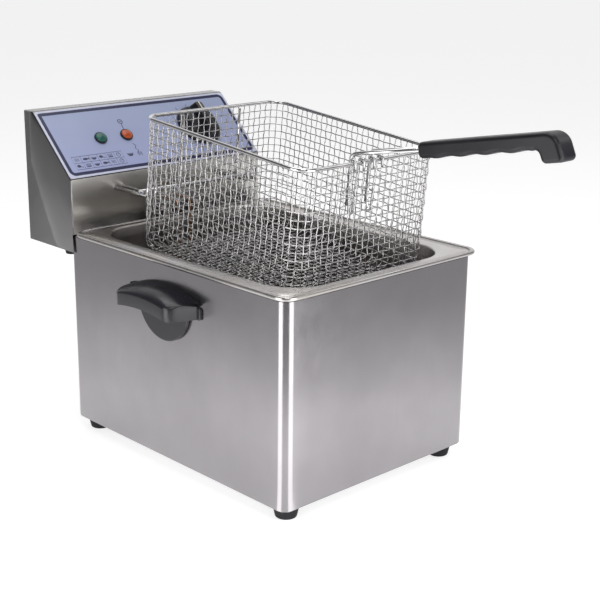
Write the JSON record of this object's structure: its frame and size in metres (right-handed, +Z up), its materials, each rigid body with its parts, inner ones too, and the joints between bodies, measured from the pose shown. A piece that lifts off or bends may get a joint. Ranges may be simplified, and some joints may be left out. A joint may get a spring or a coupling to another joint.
{
  "type": "deep fryer",
  "caption": "Countertop deep fryer: steel casing on rubber feet, lift-out oil tank, hook-over control head with knob and lamps, and a wire basket with a detachable handle.",
  "frame": {"origin": "centre of the whole object's box, on the floor under the rubber feet", "axes": "+Z up; the front, where the basket's handle points, faces -Y; +X is to the right seen from the front"},
  "size_m": [0.334, 0.6554, 0.3955],
  "materials": {
    "casing_steel": "satin, fine upright brushing",
    "tank_steel": "bright drawn steel, faint warm stain inside",
    "head_steel": "satin",
    "bracket_steel": "plain pressed steel",
    "fastener_steel": "bright zinc",
    "handle_plastic": "satin moulded black",
    "grip_plastic": "satin moulded black",
    "knob_plastic": "semi-gloss moulded black",
    "black_plastic": "satin",
    "foot_rubber": "dull moulded rubber",
    "panel_print": "screen-printed matt overlay",
    "green_lens": "clear tinted, unlit",
    "orange_lens": "clear tinted, lit",
    "lamp_bezel": "glossy black",
    "chromed_wire": "bright nickel-chrome plate",
    "element_steel": "heat-darkened sheath",
    "copper_tube": "bare copper",
    "ivory_plastic": "moulded ivory",
    "reset_red": "semi-gloss"
  },
  "bodies": {
    "casing": {"casing_shell": "casing_steel", "casing_base": "casing_steel", "side_handle_left": "handle_plastic", "side_handle_right": "handle_plastic", "side_handle_screws": "fastener_steel", "foot_front_left": "foot_rubber", "foot_front_right": "foot_rubber", "foot_rear_left": "foot_rubber", "foot_rear_right": "foot_rubber", "foot_screws": "fastener_steel"},
    "tank": {"oil_tank": "tank_steel"},
    "head": {"head_cover": "head_steel", "head_back_plate": "head_steel", "head_base_plate": "head_steel", "head_hook": "head_steel", "head_screws": "fastener_steel", "head_feet": "foot_rubber", "control_panel": "panel_print", "green_lamp_lens": "green_lens", "green_lamp_body": "lamp_bezel", "orange_lamp_lens": "orange_lens", "orange_lamp_body": "lamp_bezel", "thermostat_body": "bracket_steel", "thermostat_nut": "fastener_steel", "thermostat_capillary": "copper_tube", "thermostat_bulb": "copper_tube", "limit_thermostat": "ivory_plastic", "limit_capillary": "copper_tube", "limit_bulb": "copper_tube", "bulb_clip": "bracket_steel", "heating_element": "element_steel", "element_flange": "bracket_steel", "element_nuts": "fastener_steel", "element_support": "bracket_steel", "terminal_block": "ivory_plastic", "interlock_switch": "black_plastic", "cable_gland": "black_plastic", "gland_nut": "black_plastic", "basket_hanger": "chromed_wire", "reset_collar": "black_plastic"},
    "plunger": {"interlock_plunger": "ivory_plastic"},
    "reset": {"reset_button": "reset_red"},
    "knob": {"control_knob": "knob_plastic", "thermostat_shaft": "fastener_steel"},
    "basket": {"basket_mesh": "chromed_wire", "basket_rim": "chromed_wire", "basket_hook": "chromed_wire", "handle_bracket": "chromed_wire"},
    "basket_handle": {"handle_wires": "chromed_wire", "handle_grip": "grip_plastic"}
  },
  "joints": [
    {"name": "tank_lift", "type": "slide", "parent": "casing", "child": "tank", "axis": [0, 0, 1], "range_m": [0, 0.2]},
    {"name": "head_lift", "type": "slide", "parent": "tank", "child": "head", "axis": [0, 0, 1], "range_m": [0, 0.19]},
    {"name": "plunger_travel", "type": "slide", "parent": "head", "child": "plunger", "axis": [0, 0, -1], "range_m": [0, 0.003]},
    {"name": "reset_press", "type": "slide", "parent": "head", "child": "reset", "axis": [0, -1, 0], "range_m": [0, 0.0025], "stiffness_N_per_m": 400},
    {"name": "knob_turn", "type": "hinge", "parent": "head", "child": "knob", "pos_m": [0.071, 0.2598, 0.32284], "axis": [0, 0.6836, -0.7299], "range_deg": [0, 300]},
    {"name": "basket_lift", "type": "slide", "parent": "head", "child": "basket", "axis": [0, 0, 1], "range_m": [0, 0.2]},
    {"name": "handle_release", "type": "slide", "parent": "basket", "child": "basket_handle", "axis": [0, -0.0976, 0.9952], "range_m": [0, 0.07]}
  ],
  "couplings": [
    {"joint": "plunger_travel", "follows": "head_lift", "ratio": 0.0157}
  ]
}
